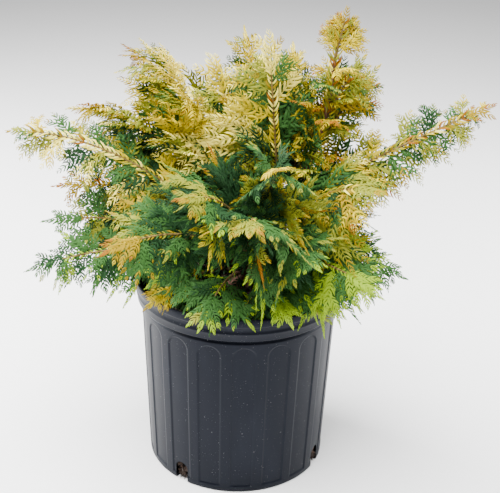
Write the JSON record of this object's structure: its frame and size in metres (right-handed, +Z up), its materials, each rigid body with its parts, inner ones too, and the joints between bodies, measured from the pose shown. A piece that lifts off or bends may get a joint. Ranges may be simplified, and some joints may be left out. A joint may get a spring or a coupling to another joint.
{
  "type": "potted conifer",
  "caption": "Golden fern-leaved cypress in a ribbed black nursery pot: a leaning trunk in potting mix, spreading boughs and flat, toothed sprays of foliage.",
  "frame": {"origin": "centre of the pot's flat underside", "axes": "+Z up, -Y towards the front, +X towards the side of the longest bough"},
  "size_m": [0.5564, 0.4082, 0.5654],
  "materials": {
    "pot": "satin",
    "potting_mix": "matte",
    "bark": "matte",
    "golden_foliage": "matte",
    "green_foliage": "matte"
  },
  "bodies": {
    "root": {"pot": "pot", "potting_mix": "potting_mix", "trunk": "bark", "bough_crown_middle": "bark", "bough_crown_back": "bark", "bough_crown_left": "bark", "bough_top_left": "bark", "bough_left_high": "bark", "bough_left_upper": "bark", "bough_left_long": "bark", "bough_left_mid": "bark", "bough_left_low": "bark", "bough_left_front_low": "bark", "bough_left_front": "bark", "bough_front_left_low": "bark", "bough_front_left": "bark", "bough_front_gold": "bark", "bough_front_green": "bark", "bough_front_right_low": "bark", "bough_right_lime": "bark", "bough_right_low": "bark", "bough_right_gold": "bark", "bough_right_long": "bark", "bough_right_back": "bark", "bough_right_back_low": "bark", "bough_back_right": "bark", "bough_back_low": "bark", "bough_back_left": "bark", "bough_back_left_low": "bark", "foliage_leader": "golden_foliage", "foliage_crown_middle": "golden_foliage", "foliage_crown_back": "golden_foliage", "foliage_crown_left": "golden_foliage", "foliage_crown_right_back": "golden_foliage", "foliage_trunk_right": "golden_foliage", "foliage_top_left": "golden_foliage", "foliage_left_high": "golden_foliage", "foliage_left_upper": "golden_foliage", "foliage_left_long": "golden_foliage", "foliage_left_mid": "green_foliage", "foliage_left_low": "green_foliage", "foliage_left_front_low": "green_foliage", "foliage_left_front": "green_foliage", "foliage_front_left_low": "green_foliage", "foliage_front_left": "golden_foliage", "foliage_front_gold": "golden_foliage", "foliage_front_upper": "golden_foliage", "foliage_front_green": "green_foliage", "foliage_front_right_low": "green_foliage", "foliage_right_lime": "green_foliage", "foliage_right_low": "green_foliage", "foliage_right_gold": "golden_foliage", "foliage_right_long": "golden_foliage", "foliage_right_upper": "golden_foliage", "foliage_right_back": "golden_foliage", "foliage_right_back_low": "green_foliage", "foliage_back_right": "golden_foliage", "foliage_back_low": "green_foliage", "foliage_back_left": "golden_foliage", "foliage_back_left_low": "green_foliage"}
  },
  "joints": []
}
